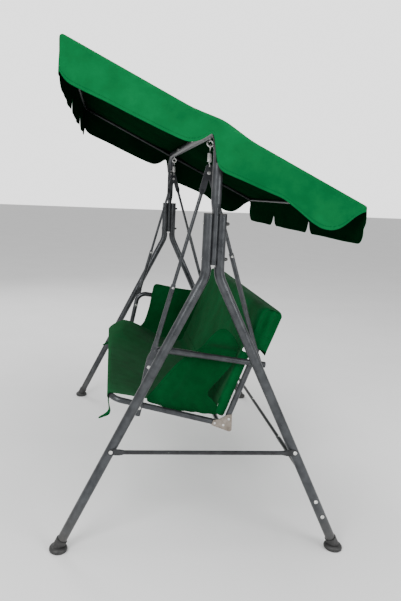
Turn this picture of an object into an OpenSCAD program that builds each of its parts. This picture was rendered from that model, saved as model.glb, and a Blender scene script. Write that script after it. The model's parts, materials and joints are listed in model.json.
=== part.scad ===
// Canopy swing bench: two A-frames, a three-piece crossbeam, a sprung sling seat
// and a tilting canopy. Millimetres, +Z up, front of the bench towards -Y.
// Origin: centre of the footprint, on the ground. "Right" is +X.

/* [Frame] */
// Distance between the planes of the two A-frames
frame_l = 1650; // [1400:10:1900]
// Distance between the front and rear foot centres
foot_spread = 1100; // [900:10:1300]
// Leg and crossbeam tube diameter
leg_d = 38; // [30:1:50]
// Wall of the frame tubes
leg_wall = 1.5; // [1:0.1:3]
// Height of the leg tops
leg_top = 1320; // [1200:5:1450]
// Height where the legs start to spread
leg_split = 1128; // [1050:1:1200]
// Half distance between the two leg axes in the yoke
yoke_half = 24.5; // [20:0.5:35]
// Thickness of the pressed post end held in the yoke
post_flat = 19.5; // [14:0.5:30]
// Height of the crossbeam axis
beam_z = 1630; // [1500:5:1750]
// Bend radius of the crossbeam ends, on the axis
beam_bend = 95; // [60:1:140]
// Distance from the centre to the crossbeam joints
beam_joint = 250; // [150:10:500]
// Height of the lower side bars
bar_z = 410; // [300:5:600]
// Side bar diameter
bar_d = 16; // [12:1:25]
// Height of the rear brace
brace_z = 306; // [200:2:450]
// Rear brace diameter at its ends
brace_d = 19; // [14:1:28]

/* [Seat] */
// Distance from the centre to the plane of the hangers
hang_x = 638; // [550:1:720]
// Height of the upper spring hooks, where they bear on the rings
swing_z = 1586; // [1500:1:1700]
// Height of the lower spring hooks, where front and rear hangers meet
apex_z = 1498; // [1400:1:1560]
// Slope of the seat side tubes, front up
seat_tilt = 12.8; // [0:0.2:25]
// Lean of the backrest from the vertical
back_lean = 19.8; // [5:0.2:35]
// Seat and backrest tube diameter
seat_d = 25; // [18:1:32]
// Diameter of the front armrest tube
arm_d = 28; // [20:1:35]
// Upper hanger rod diameter
rod_d = 15; // [10:1:20]
// Lower hanger tube diameter
tube_d = 20; // [14:1:28]

/* [Canopy] */
// Tilt of the canopy, front up
canopy_tilt = 26; // [0:1:35]
// Distance from the pivot to the front canopy tube
canopy_front = 630; // [500:5:750]
// Distance from the pivot to the rear canopy tube
canopy_rear = 606; // [500:5:750]
// Canopy tube diameter
canopy_d = 16; // [12:1:25]
// Half length of the canopy cover
canopy_half = 869.5; // [780:0.5:1000]
// Thickness of the fabric pieces
cloth = 3; // [1:0.5:6]

/* [Hidden] */
$fn = 64;
eps = 0.01;
lap = 0.5;
swell = 0.1;
frame_x = frame_l / 2;
leg_r = leg_d / 2;
flat_y = post_flat / 2;
leg_lean = atan((foot_spread / 2 - yoke_half) / (leg_split - 35 - 12));
foot_end_z = 16;
foot_base_y = 547;
foot_y = yoke_half + (leg_split - 35 - foot_end_z) * tan(leg_lean);
bend_z = leg_split - 35;
leg_path = [[yoke_half, leg_top], [yoke_half, bend_z], [foot_y, foot_end_z]];
post_end_z = 1134;
bar_y = yoke_half + (bend_z - bar_z) * tan(leg_lean);
outer_x = frame_x + leg_r;
bar_x = outer_x + 1.5;
brace_y = yoke_half + (bend_z - brace_z) * tan(leg_lean);
brace_x = frame_x - leg_r - brace_d / 2 - 0.2;
brace_bolt_z = [207, 144];
brace_joint = 475;
brace_mid_d = 16;
brace_mid_joint = 45;
bracket_bolt_z = [1514, 1529];
yoke_bolt_z = [1286, 1155];

plate_t = 3;
arm_x = hang_x - plate_t - 0.2 - seat_d / 2;
rail_x = arm_x - arm_d / 2 - seat_d / 2 - 0.3;
front_bolt = [-209, 677.5];
rear_bolt = [253, 694];
front_lean = atan(-front_bolt[0] / (apex_z - front_bolt[1]));
rear_lean = atan(rear_bolt[0] / (apex_z - rear_bolt[1]));
front_joint_z = 1023;
rear_joint_z = 1157;
joint_screw = 12;
stub_end = [-249, 465.5];
arm_tilt = 7.5;
arm_corner = [-194.8, 752.8];
arm_step = [-30, arm_corner[1] - 164.8 * tan(arm_tilt)];
arm_end = [281, arm_corner[1] - 475.8 * tan(arm_tilt)];
rail_mid = [-65.5, 461];
seat_front = -303;
seat_rear = 198;
rear_tube_at = 172;
rear_tube_r = 10;
back_foot = [144, 392];
back_knee = [144, 456];
back_h = 480;
tube_joint = 440;
seat_half = 572;
side_bolt = [-242.2, rail_mid[1] + 176.7 * tan(seat_tilt)];
back_bolt = [back_knee[0] + 240.8 * tan(back_lean), back_knee[1] + 240.8];
plate_holes = [[84, 427.2], [121, 418.6], [144, 445]];

side_x = frame_x + leg_r + plate_t + 0.8 + canopy_d / 2;
roof_in = canopy_d / 2 + 0.5;
roof_out = roof_in + cloth;
front_edge = [-canopy_front * cos(canopy_tilt), beam_z + canopy_front * sin(canopy_tilt)];
rear_edge = [canopy_rear * cos(canopy_tilt), beam_z - canopy_rear * sin(canopy_tilt)];

steel = [0.33, 0.35, 0.36];
steel_dark = [0.27, 0.29, 0.3];
zinc = [0.78, 0.78, 0.76];
plate_grey = [0.6, 0.57, 0.53];
black = [0.05, 0.05, 0.05];
green = [0.03, 0.33, 0.15];
green_dark = [0.02, 0.22, 0.1];

// ---- placing helpers -------------------------------------------------------

// Local X, Y drawn along global Y, Z, at a given X
module in_yz(x = 0) {
  translate([x, 0, 0]) rotate([90, 0, 90]) children();
}

// Local X, Y drawn along global X, Z, at a given Y
module in_xz(y = 0) {
  translate([0, y, 0]) rotate([90, 0, 0]) children();
}

// The piece and its mirror image on the other end of the bench
module both_ends() {
  children();
  mirror([1, 0, 0]) children();
}

// The piece and its mirror image on the other side of the crossbeam
module both_sides() {
  children();
  mirror([0, 1, 0]) children();
}

// ---- tube runs in a plane --------------------------------------------------

function heading(a, b) = atan2(b[1] - a[1], b[0] - a[0]);
function along(a, ang, d) = [a[0] + d * cos(ang), a[1] + d * sin(ang)];
function wrap(a) = a > 180 ? a - 360 : (a < -180 ? a + 360 : a);
function turn(p, i) = wrap(heading(p[i], p[i + 1]) - heading(p[i - 1], p[i]));
function setback(p, i, bend) = (i == 0 || i == len(p) - 1) ? 0 : bend * tan(abs(turn(p, i)) / 2);

// Straight round bar between two points of the plane
module bar(a, b, r) {
  translate([a[0], a[1], 0])
    rotate([0, 90, heading(a, b)])
      cylinder(h = norm(b - a), r = r);
}

// Round bar along a list of points, with bends of one radius. Each bend is a hair
// thicker than the straights, which run a little way into it.
module run(p, bend, r, over = 0) {
  last = len(p) - 1;
  for (i = [0 : last - 1]) {
    h = heading(p[i], p[i + 1]);
    a = along(p[i], h, i == 0 ? -over : setback(p, i, bend) - lap);
    b = along(p[i + 1], h, i == last - 1 ? over : lap - setback(p, i + 1, bend));
    bar(a, b, r);
  }
  if (last > 1)
    for (i = [1 : last - 1]) {
      t = turn(p, i);
      h = heading(p[i - 1], p[i]);
      s = along(p[i], h, -setback(p, i, bend));
      c = along(s, h + (t > 0 ? 90 : -90), bend);
      translate([c[0], c[1], 0])
        rotate([0, 0, t > 0 ? h - 90 : h + 90 + t])
          rotate_extrude(angle = abs(t)) translate([bend, 0]) circle(r = r + swell);
    }
}

// Open tube along a list of points
module pipe(p, bend, r, wall) {
  difference() {
    run(p, bend, r);
    run(p, bend, r - wall, 1);
  }
}

// Tube whose far end is pressed flat, with a bolt eye. Local: from the origin along +X.
module flat_ended(len, r, wall, flat_l, flat_w, flat_t, eye_r) {
  neck = 26;
  difference() {
    union() {
      rotate([0, 90, 0]) cylinder(h = len - flat_l - neck, r = r);
      intersection() {
        translate([len - flat_l - neck, 0, 0]) rotate([0, 90, 0]) cylinder(h = neck, r = r);
        rotate([90, 0, 0])
          linear_extrude(height = 4 * r, center = true)
            polygon([
              [len - flat_l - neck, -r], [len - flat_l, -flat_t / 2],
              [len - flat_l, flat_t / 2], [len - flat_l - neck, r]
            ]);
      }
      linear_extrude(height = flat_t, center = true) {
        polygon([
          [len - flat_l - neck, -r * 0.9], [len - flat_l - 4, -flat_w / 2],
          [len, -flat_w / 2], [len, flat_w / 2],
          [len - flat_l - 4, flat_w / 2], [len - flat_l - neck, r * 0.9]
        ]);
        translate([len, 0]) circle(r = flat_w / 2);
      }
    }
    translate([-1, 0, 0]) rotate([0, 90, 0]) cylinder(h = len - flat_l - neck, r = r - wall);
    translate([len, 0, 0]) cylinder(h = 4 * r, r = eye_r, center = true);
  }
}

// Bolt along +Z from the face at z = 0: low dome head below, hexagon nut above the grip
module bolt(grip, r = 4, head_r = 7.5, head_h = 4, tail = 2) {
  translate([0, 0, -head_h]) cylinder(h = head_h * 0.45, r1 = head_r * 0.72, r2 = head_r * 0.96);
  translate([0, 0, -head_h * 0.55]) cylinder(h = head_h * 0.55, r = head_r);
  cylinder(h = grip + r * 1.7 + tail, r = r);
  translate([0, 0, grip]) cylinder(h = r * 1.7, r = r * 1.85, $fn = 6);
}

// Round hole along X through the point p of the Y-Z plane
module x_hole(x, p, r, len = 80) {
  translate([x - len / 2, p[0], p[1]]) rotate([0, 90, 0]) cylinder(h = len, r = r);
}

// Bolt along X, head on the outer face at x, running inwards
module x_bolt(x, p, grip) {
  translate([x, p[0], p[1]]) rotate([0, -90, 0]) bolt(grip);
}

module x_screw(x, p, grip) {
  translate([x, p[0], p[1]]) rotate([0, -90, 0]) bolt(grip, 3, 5, 2.5);
}

// Round bar or tube along X between -half and half
module x_tube(half, r, bore) {
  rotate([0, 90, 0])
    difference() {
      cylinder(h = 2 * half, r = r, center = true);
      cylinder(h = 2 * half + 2, r = bore, center = true);
    }
}

// ---- A-frames --------------------------------------------------------------

function leg_at(z) = [yoke_half + (bend_z - z) * tan(leg_lean), z];

// Leg with one side pressed flat where it clamps the post
module leg_tube(rear) {
  flat_low = leg_split - 3;
  difference() {
    in_yz(frame_x) run(leg_path, 120, leg_r);
    translate([frame_x - leg_d, flat_y - leg_d, flat_low]) cube([2 * leg_d, leg_d, leg_top + 1 - flat_low]);
    difference() {
      in_yz(frame_x) run(leg_path, 120, leg_r - leg_wall, 1);
      translate([frame_x - leg_d, flat_y + leg_wall - leg_d, flat_low - leg_wall])
        cube([2 * leg_d, leg_d, leg_top + 5 - flat_low]);
    }
    for (z = yoke_bolt_z)
      translate([frame_x, 0, z]) rotate([-90, 0, 0]) cylinder(h = 80, r = 4.3);
    x_hole(frame_x, [bar_y, bar_z], 4.3);
    if (rear)
      for (z = brace_bolt_z) x_hole(frame_x, leg_at(z), 4.3);
  }
}

module leg_rear_right() color(steel) leg_tube(true);
module leg_rear_left() color(steel) mirror([1, 0, 0]) leg_tube(true);
module leg_front_right() color(steel) mirror([0, 1, 0]) leg_tube(false);
module leg_front_left() color(steel) mirror([0, 1, 0]) mirror([1, 0, 0]) leg_tube(false);

// Moulded foot: round base and a sleeve along the leg
module foot_cap() {
  leg_end = [foot_y, foot_end_z];
  up = 90 + leg_lean;
  difference() {
    union() {
      translate([frame_x, foot_base_y, 0])
        rotate_extrude()
          polygon([[0, 0], [32, 0], [35, 3], [36, 8], [35, 13], [32, 17], [27, 20], [0, 20]]);
      intersection() {
        in_yz(frame_x) bar(along(leg_end, up, -22), along(leg_end, up, 34), leg_r + 3.2);
        translate([frame_x - 60, foot_base_y - 90, 0]) cube([120, 126, 120]);
      }
    }
    in_yz(frame_x) bar(leg_end, along(leg_end, up, 60), leg_r);
  }
}

module foot_caps() color(black) both_ends() both_sides() foot_cap();

// Plastic plug on the open leg top
module leg_cap() {
  translate([frame_x, 0, leg_top])
    linear_extrude(height = 3)
      difference() {
        translate([0, yoke_half]) circle(r = leg_r);
        translate([-leg_d, flat_y - leg_d]) square([2 * leg_d, leg_d]);
      }
}

module leg_caps() color(black) both_ends() both_sides() leg_cap();

// Bolts of the yoke run front to rear through leg, post and leg
module yoke_bolts() color(zinc)
  both_ends()
    for (z = yoke_bolt_z)
      translate([frame_x, -yoke_half - leg_r, z]) rotate([-90, 0, 0]) {
        translate([0, 0, -2.2]) cylinder(h = 2.2, r = 6.5);
        cylinder(h = 2 * (yoke_half + leg_r) + 4, r = 4);
      }

module yoke_nuts() color(black)
  both_ends()
    for (z = yoke_bolt_z)
      translate([frame_x, yoke_half + leg_r, z]) rotate([-90, 0, 0])
        difference() {
          union() {
            cylinder(h = 5, r = 6.6);
            translate([0, 0, 5.2]) sphere(r = 6.2);
          }
          translate([0, 0, -1]) cylinder(h = 5, r = 4);
        }

// ---- crossbeam -------------------------------------------------------------

beam_bolt_x = beam_joint + 24;
neck_z = [1320, 1380];
oval_x = 14.25;

// Crossbeam end bent down into the post: round, then pinched to an oval where the
// legs clamp it. Drawn once for the outside and once for the bore.
module beam_shape(r, half_t, over) {
  difference() {
    in_xz() run([[beam_joint, beam_z], [frame_x, beam_z], [frame_x, neck_z[0]]], beam_bend, r, over);
    both_sides()
      in_yz(frame_x) linear_extrude(height = 100, center = true)
        polygon([
          [half_t - 0.5, neck_z[0] - 2], [half_t - 0.5, neck_z[0]], [r + 2, neck_z[1]],
          [r + 6, neck_z[1]], [r + 6, neck_z[0] - 2]
        ]);
  }
  intersection() {
    translate([frame_x, 0, post_end_z - over])
      linear_extrude(height = 1366 - post_end_z + over) {
        square([2 * oval_x, 2 * half_t], center = true);
        translate([oval_x, 0]) circle(r = half_t);
        translate([-oval_x, 0]) circle(r = half_t);
      }
    in_xz()
      linear_extrude(height = 100, center = true)
        polygon([
          [frame_x - 30, post_end_z - 5], [frame_x + 30, post_end_z - 5], [frame_x + 30, 1326],
          [frame_x + r - 4, 1366], [frame_x - r + 4, 1366], [frame_x - 30, 1326]
        ]);
  }
}

module crossbeam_end()
  difference() {
    beam_shape(leg_r, flat_y, 0);
    beam_shape(leg_r - leg_wall, flat_y - leg_wall, 1);
    for (z = yoke_bolt_z)
      translate([frame_x, -40, z]) rotate([-90, 0, 0]) cylinder(h = 80, r = 4.3);
    for (z = bracket_bolt_z) x_hole(frame_x, [0, z], 3.3);
    translate([beam_bolt_x, 0, beam_z]) rotate([90, 0, 0]) cylinder(h = 60, r = 3.3, center = true);
  }

module crossbeam_end_right() color(steel) crossbeam_end();
module crossbeam_end_left() color(steel) mirror([1, 0, 0]) crossbeam_end();

// Middle tube with reduced ends that plug into the two bent ends
module crossbeam_middle() color(steel)
  difference() {
    translate([0, 0, beam_z]) plug_tube(beam_joint, leg_r, leg_wall, 48);
    both_ends()
      translate([beam_bolt_x, 0, beam_z]) rotate([90, 0, 0]) cylinder(h = 60, r = 3.3, center = true);
  }

// Tube along X with reduced ends that plug into its neighbours
module plug_tube(half, r, wall, plug = 40) {
  rotate([0, 90, 0])
    difference() {
      union() {
        cylinder(h = 2 * half, r = r, center = true);
        cylinder(h = 2 * (half + plug), r = r - wall - 0.1, center = true);
      }
      cylinder(h = 2 * (half + plug) + 2, r = r - 2 * wall - 0.1, center = true);
    }
}

module crossbeam_bolts() color(zinc)
  both_ends()
    translate([beam_bolt_x, leg_r, beam_z]) rotate([90, 0, 0]) bolt(leg_d, 3, 5.5, 3);

// Ring welded under the crossbeam
module eye_bolt() {
  ring = 11;
  ring_z = swing_z + ring - 1.75 - 4 - 0.3;
  translate([hang_x, 0, ring_z]) rotate([0, 90, 0]) rotate_extrude() translate([ring, 0]) circle(r = 4);
  translate([hang_x, 0, ring_z + ring + 1]) cylinder(h = beam_z - leg_r - ring_z - ring - 1, r = 4);
}

module eye_bolts() color(zinc) both_ends() eye_bolt();

// ---- lower side bars and rear brace ----------------------------------------

// Bar with two pressed ends bolted to the outer faces of the legs
module crossbar()
  translate([0, 0, bar_z]) in_yz(bar_x) {
    flat_ended(bar_y, bar_d / 2, 1.2, 30, 24, 3, 4.3);
    mirror([1, 0, 0]) flat_ended(bar_y, bar_d / 2, 1.2, 30, 24, 3, 4.3);
  }

module crossbar_right() color(steel_dark) crossbar();
module crossbar_left() color(steel_dark) mirror([1, 0, 0]) crossbar();

module crossbar_bolts() color(zinc)
  both_ends() both_sides() x_bolt(bar_x + 1.5, [bar_y, bar_z], leg_d + 3);

// Brace end: bar along the bench, bent down along the inner face of the rear leg
module brace_end() {
  drop = (brace_z - 122) / cos(leg_lean);
  difference() {
    translate([0, brace_y, brace_z]) rotate([leg_lean, 0, 0]) in_xz()
      pipe([[brace_joint, 0], [brace_x, 0], [brace_x, -drop]], 45, brace_d / 2, 1.5);
    for (z = brace_bolt_z) x_hole(brace_x, leg_at(z), 4.3);
    translate([brace_joint + 14, brace_y, brace_z]) cylinder(h = 30, r = 3.3, center = true);
  }
}

module brace_end_right() color(steel_dark) brace_end();
module brace_end_left() color(steel_dark) mirror([1, 0, 0]) brace_end();

module brace_rod(from, to, r) {
  translate([from, brace_y, brace_z]) rotate([0, 90, 0]) cylinder(h = to - from, r = r);
}

// Middle bars plug into the ends; the right one is reduced to enter the left one
module brace_mid_right() color(steel_dark)
  difference() {
    union() {
      brace_rod(brace_mid_joint, brace_joint + 30, brace_mid_d / 2 - 0.1);
      brace_rod(brace_mid_joint - 34, brace_mid_joint + 26, brace_mid_d / 2 - 1.6);
    }
    brace_rod(brace_mid_joint - 40, brace_joint + 40, brace_mid_d / 2 - 3);
    for (x = [brace_mid_joint - 16, brace_joint + 14])
      translate([x, brace_y, brace_z]) cylinder(h = 30, r = 3.3, center = true);
  }

module brace_mid_left() color(steel_dark)
  difference() {
    brace_rod(-brace_joint - 30, brace_mid_joint - eps, brace_mid_d / 2 - 0.1);
    brace_rod(-brace_joint - 31, brace_mid_joint + 1, brace_mid_d / 2 - 1.5);
    for (x = [brace_mid_joint - 16, -brace_joint - 14])
      translate([x, brace_y, brace_z]) cylinder(h = 30, r = 3.3, center = true);
  }

module brace_screw(x, d) {
  translate([x, brace_y, brace_z + d / 2]) mirror([0, 0, 1]) bolt(d, 3, 5, 2.5);
}

module brace_bolts() color(zinc) {
  both_ends() {
    for (z = brace_bolt_z) x_bolt(outer_x, leg_at(z), leg_d + brace_d + 0.2);
    brace_screw(brace_joint + 14, brace_d);
  }
  brace_screw(brace_mid_joint - 16, brace_mid_d);
}

// ---- canopy brackets on the posts ------------------------------------------

// Strap on the outer face of the post that carries the canopy pivot
module canopy_bracket()
  difference() {
    in_yz(outer_x)
      linear_extrude(height = plate_t) {
        translate([-14, 1506]) square([28, beam_z - 1506]);
        translate([0, beam_z]) circle(r = 14);
      }
    for (z = bracket_bolt_z) x_hole(outer_x, [0, z], 3.3);
    x_hole(outer_x, [0, beam_z], 4.05);
  }

module canopy_brackets() color(steel_dark) both_ends() canopy_bracket();

module bracket_bolts() color(zinc)
  both_ends()
    for (z = bracket_bolt_z) x_screw(outer_x + plate_t, [0, z], leg_d + plate_t);

// ---- springs and hangers ---------------------------------------------------

// Close-wound extension spring with a loop at each end
module spring() {
  wire = 1.75;
  loop = 8;
  coils = 11;
  pitch = 3.3;
  coil_r = 7.4;
  coil_z = 1519;
  coil_top = coil_z + (coils - 1) * pitch;
  loop_top = swing_z - loop;
  loop_low = apex_z + 1.35 + loop;
  translate([hang_x, 0, 0]) {
    for (z = [loop_top, loop_low])
      translate([0, 0, z]) rotate([90, 0, 0]) rotate_extrude() translate([loop, 0]) circle(r = wire);
    translate([0, 0, coil_z])
      rotate_extrude() for (i = [0 : coils - 1]) translate([coil_r, i * pitch]) circle(r = wire);
    translate([0, 0, coil_top - 4]) cylinder(h = loop_top - loop + 0.5 - coil_top + 4, r = wire);
    translate([0, 0, loop_low + loop - 0.5]) cylinder(h = coil_z + 4.5 - loop_low - loop, r = wire);
    for (z = [coil_z + 2.2, coil_top - 2.2])
      translate([0, 0, z]) rotate([0, 90, 0]) cylinder(h = coil_r, r = wire);
  }
}

module springs() color(zinc) both_ends() spring();

// Distance below the apex, along a hanger, of a point at height z
function down(lean, z) = (apex_z - z) / cos(lean);

// Local origin on the hanger line, d below the apex, +X up the line
module on_hanger(x, lean, d) {
  in_yz(x) translate([d * sin(lean), apex_z - d * cos(lean), 0]) rotate([0, 0, 90 + lean]) children();
}

// Upper rod: pressed flat at the apex, plugged into the lower tube
module hanger_top(x, lean, joint_z) {
  d = down(lean, joint_z);
  difference() {
    on_hanger(x, lean, d + 55) flat_ended(d + 55, rod_d / 2, 1.5, 88, 26, plate_t, 4);
    on_hanger(x, lean, d + joint_screw) cylinder(h = 40, r = 3.3, center = true);
    x_hole(x, [0, apex_z - 22], 4.3);
  }
}

// Lower tube: open at the top, pressed flat where it passes the armrest tube
module hanger_low(x, lean, joint_z, foot, flat_l) {
  d = down(lean, joint_z);
  difference() {
    on_hanger(x, lean, d) mirror([1, 0, 0])
      flat_ended(down(lean, foot[1]) - d, tube_d / 2, (tube_d - rod_d) / 2 - 0.1, flat_l, 24, plate_t, 4.3);
    on_hanger(x, lean, d + joint_screw) cylinder(h = 40, r = 3.3, center = true);
  }
}

front_flat = 90;
rear_flat = 26;
front_x = hang_x + plate_t / 2;
rear_x = hang_x - plate_t / 2;
module hanger_front_top_right() color(steel) hanger_top(front_x, -front_lean, front_joint_z);
module hanger_front_top_left() color(steel) mirror([1, 0, 0]) hanger_top(front_x, -front_lean, front_joint_z);
module hanger_front_low_right() color(steel) hanger_low(front_x, -front_lean, front_joint_z, front_bolt, front_flat);
module hanger_front_low_left() color(steel)
  mirror([1, 0, 0]) hanger_low(front_x, -front_lean, front_joint_z, front_bolt, front_flat);
module hanger_rear_top_right() color(steel) hanger_top(rear_x, rear_lean, rear_joint_z);
module hanger_rear_top_left() color(steel) mirror([1, 0, 0]) hanger_top(rear_x, rear_lean, rear_joint_z);
module hanger_rear_low_right() color(steel) hanger_low(rear_x, rear_lean, rear_joint_z, rear_bolt, rear_flat);
module hanger_rear_low_left() color(steel)
  mirror([1, 0, 0]) hanger_low(rear_x, rear_lean, rear_joint_z, rear_bolt, rear_flat);

module hanger_screw(x, lean, joint_z) {
  d = down(lean, joint_z) + joint_screw;
  x_screw(x + tube_d / 2, [d * sin(lean), apex_z - d * cos(lean)], tube_d);
}

module hanger_bolts() color(zinc)
  both_ends() {
    x_bolt(hang_x + plate_t, [0, apex_z - 22], 2 * plate_t);
    hanger_screw(front_x, -front_lean, front_joint_z);
    hanger_screw(rear_x, rear_lean, rear_joint_z);
    x_bolt(hang_x + plate_t, front_bolt, hang_x + plate_t - arm_x + arm_d / 2);
    x_bolt(hang_x, rear_bolt, hang_x - arm_x + seat_d / 2);
    // Washer that fills the gap to the armrest tube
    in_yz(arm_x + arm_d / 2 + 0.1) translate(front_bolt)
      linear_extrude(height = hang_x - arm_x - arm_d / 2 - 0.2)
        difference() {
          circle(r = 8);
          circle(r = 4.3);
        }
  }

// ---- armrests --------------------------------------------------------------

// Front upright and armrest in one bent tube
module armrest_front()
  difference() {
    in_yz(arm_x) pipe([stub_end, arm_corner, arm_step], 55, arm_d / 2, 1.4);
    for (b = [front_bolt, side_bolt]) x_hole(arm_x, b, 4.3);
  }

// Rear armrest tube, plugged into the front one
module armrest_rear()
  difference() {
    in_yz(arm_x) pipe([along(arm_step, 180 - arm_tilt, 60), arm_end], 55, seat_d / 2, 1.5);
    for (b = [rear_bolt, back_bolt]) x_hole(arm_x, b, 4.3);
  }

module armrest_front_right() color(steel) armrest_front();
module armrest_front_left() color(steel) mirror([1, 0, 0]) armrest_front();
module armrest_rear_right() color(steel) armrest_rear();
module armrest_rear_left() color(steel) mirror([1, 0, 0]) armrest_rear();

module armrest_bolts() color(zinc)
  both_ends() {
    x_bolt(arm_x + arm_d / 2, side_bolt, arm_d + seat_d + 0.3);
    x_bolt(arm_x + seat_d / 2, back_bolt, arm_x - rail_x + seat_d);
  }

// ---- seat frame ------------------------------------------------------------

// Local XY plane laid in the plane of the seat side tubes
module in_seat() {
  translate([0, rail_mid[0], rail_mid[1]]) rotate([-seat_tilt, 0, 0]) children();
}

module seat_side()
  difference() {
    in_seat() pipe([[rail_x, seat_rear], [rail_x, seat_front], [tube_joint, seat_front]], 50, seat_d / 2, 1.5);
    x_hole(rail_x, side_bolt, 4.3);
    for (i = [0, 1]) x_hole(rail_x, plate_holes[i], 3.3);
  }

module seat_side_right() color(steel) seat_side();
module seat_side_left() color(steel) mirror([1, 0, 0]) seat_side();

module seat_front_tube() color(steel)
  in_seat() translate([0, seat_front, 0]) plug_tube(tube_joint, seat_d / 2, 1.5);

// Rear tube of the seat, coped against the side tubes
module seat_rear_tube() color(steel)
  in_seat()
    difference() {
      translate([0, rear_tube_at, 0]) x_tube(rail_x - 4, rear_tube_r, rear_tube_r - 1.5);
      both_ends()
        translate([rail_x, rear_tube_at, 0]) rotate([90, 0, 0])
          cylinder(h = 60, r = seat_d / 2 + 0.02, center = true);
    }

// Plate that ties the seat side tube to the backrest foot
module corner_plate()
  difference() {
    in_yz(rail_x + seat_d / 2 + 0.05)
      linear_extrude(height = 2.5)
        polygon([[70, 418], [78, 440], [100, 444], [136, 464], [157, 466], [159, 396], [148, 390], [130, 396]]);
    for (b = plate_holes) x_hole(rail_x, b, 3.3);
  }

module corner_plates() color(plate_grey) both_ends() corner_plate();

module plate_bolts() color(zinc)
  both_ends()
    for (b = plate_holes) x_screw(rail_x + seat_d / 2 + 2.55, b, seat_d + 2.6);

// ---- backrest frame --------------------------------------------------------

// Local frame in the leaning plane of the backrest, from the knee up
module in_back() {
  translate([0, back_knee[0], back_knee[1]]) rotate([-back_lean, 0, 0]) children();
}

// Foot, knee and lower upright lie in one plane, the top bend in another
module back_run(r, over) {
  half = 200;
  foot = [back_foot[0], back_foot[1] - over];
  in_yz(rail_x) run([foot, back_knee, along(back_knee, 90 - back_lean, half + lap)], 45, r);
  in_back() in_xz() run([[rail_x, half], [rail_x, back_h], [tube_joint - over, back_h]], 55, r + swell);
}

module back_side()
  difference() {
    back_run(seat_d / 2, 0);
    back_run(seat_d / 2 - 1.5, 1);
    x_hole(rail_x, back_bolt, 4.3);
    x_hole(rail_x, plate_holes[2], 3.3);
  }

module back_side_right() color(steel) back_side();
module back_side_left() color(steel) mirror([1, 0, 0]) back_side();
module back_top_tube() color(steel)
  in_back() translate([0, 0, back_h]) plug_tube(tube_joint, seat_d / 2, 1.5);

// ---- seat and back covers --------------------------------------------------

// Points of an arc from angle a0 to a1
function arc(c, r, a0, a1, n = 10) = [for (i = [0 : n]) along(c, a0 + (a1 - a0) * i / n, r)];

// Sling over and around the front and rear seat tubes
module seat_cover() color(green) {
  gap = 1;
  front = [seat_front, 0];
  rear = [rear_tube_at, 0];
  front_in = seat_d / 2 + gap;
  rear_in = rear_tube_r + gap;
  sheet = 4;
  in_seat() translate([-seat_half, 0, 0]) in_yz()
    linear_extrude(height = 2 * seat_half)
      polygon(concat(
        arc(rear, rear_in + sheet, -100, 90), arc(front, front_in + sheet, 90, 250),
        arc(front, front_in, 250, 90), arc(rear, rear_in, 90, -100)
      ));
}

// Backrest cover: front panel down to the seat, and a deep hood over the back frame
module back_cover() color(green) {
  front = -56;
  hood_low = 296;
  hood_top = back_h + 17;
  hood_half = 615;
  depth = 104;
  in_back()
    difference() {
      union() {
        translate([-578, front, -20]) cube([1156, cloth, 330]);
        translate([-hood_half, front, hood_low]) cube([2 * hood_half, depth, hood_top - hood_low]);
      }
      translate([cloth - hood_half, front + cloth, hood_low - 6])
        cube([2 * (hood_half - cloth), depth - 2 * cloth, hood_top - cloth - hood_low + 6]);
    }
}

// Side wing between the seat and the backrest
module side_panel()
  in_yz(574)
    linear_extrude(height = cloth)
      polygon([[-205, 510], [-152, 590], [-112, 765], [-90, 822], [60, 806], [186, 778], [172, 724], [86, 478]]);

module side_panel_right() color(green_dark) side_panel();
module side_panel_left() color(green_dark) mirror([1, 0, 0]) side_panel();

// Tie strap hanging from each front corner of the seat cover
module tie_straps() color(green_dark)
  both_ends()
    in_yz(556)
      linear_extrude(height = 14)
        polygon([[-367, 508], [-364, 508], [-365, 470], [-368, 436], [-371, 436], [-368, 470]]);

// ---- canopy ----------------------------------------------------------------

// Local frame of the canopy: origin at the pivot, +Y down the slope to the rear
module in_canopy() {
  translate([0, 0, beam_z]) rotate([-canopy_tilt, 0, 0]) children();
}

// Point of the sloping canopy plane in the global Y-Z plane
function sloped(p) = [
  p[0] * cos(canopy_tilt) + p[1] * sin(canopy_tilt),
  beam_z - p[0] * sin(canopy_tilt) + p[1] * cos(canopy_tilt)
];

module canopy_side()
  in_canopy()
    difference() {
      translate([side_x, (canopy_rear - canopy_front) / 2, 0]) rotate([0, 0, 90])
        x_tube((canopy_front + canopy_rear) / 2 - 10, canopy_d / 2, canopy_d / 2 - 1.2);
      x_hole(side_x, [0, 0], 4.05);
    }

module canopy_side_right() color(steel_dark) canopy_side();
module canopy_side_left() color(steel_dark) mirror([1, 0, 0]) canopy_side();

module canopy_end_tube(y)
  in_canopy() translate([0, y, 0]) x_tube(side_x - 10, canopy_d / 2, canopy_d / 2 - 1.2);

module canopy_front_tube() color(steel_dark) canopy_end_tube(-canopy_front);
module canopy_rear_tube() color(steel_dark) canopy_end_tube(canopy_rear);

// Moulded corner with a plug into each of the two tubes
module canopy_corner() {
  r = canopy_d / 2;
  sphere(r = r);
  for (turn_to = [[0, -90, 0], [-90, 0, 0]])
    rotate(turn_to) {
      cylinder(h = 9.9, r = r);
      cylinder(h = 40, r = r - 1.3);
    }
}

module canopy_corners() color(black)
  in_canopy() both_ends() {
    translate([side_x, -canopy_front, 0]) canopy_corner();
    translate([side_x, canopy_rear, 0]) mirror([0, 1, 0]) canopy_corner();
  }

// Pivot bolt through side tube and bracket, low head outside
module pivot_bolts() color(zinc)
  both_ends()
    translate([side_x + canopy_d / 2 + 0.3, 0, beam_z]) rotate([0, -90, 0]) {
      grip = canopy_d + 0.3 + 0.8 + plate_t;
      translate([0, 0, -2]) cylinder(h = 2, r = 7);
      cylinder(h = grip + 9, r = 4);
      translate([0, 0, grip]) cylinder(h = 6.8, r = 7.4, $fn = 6);
    }

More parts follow.
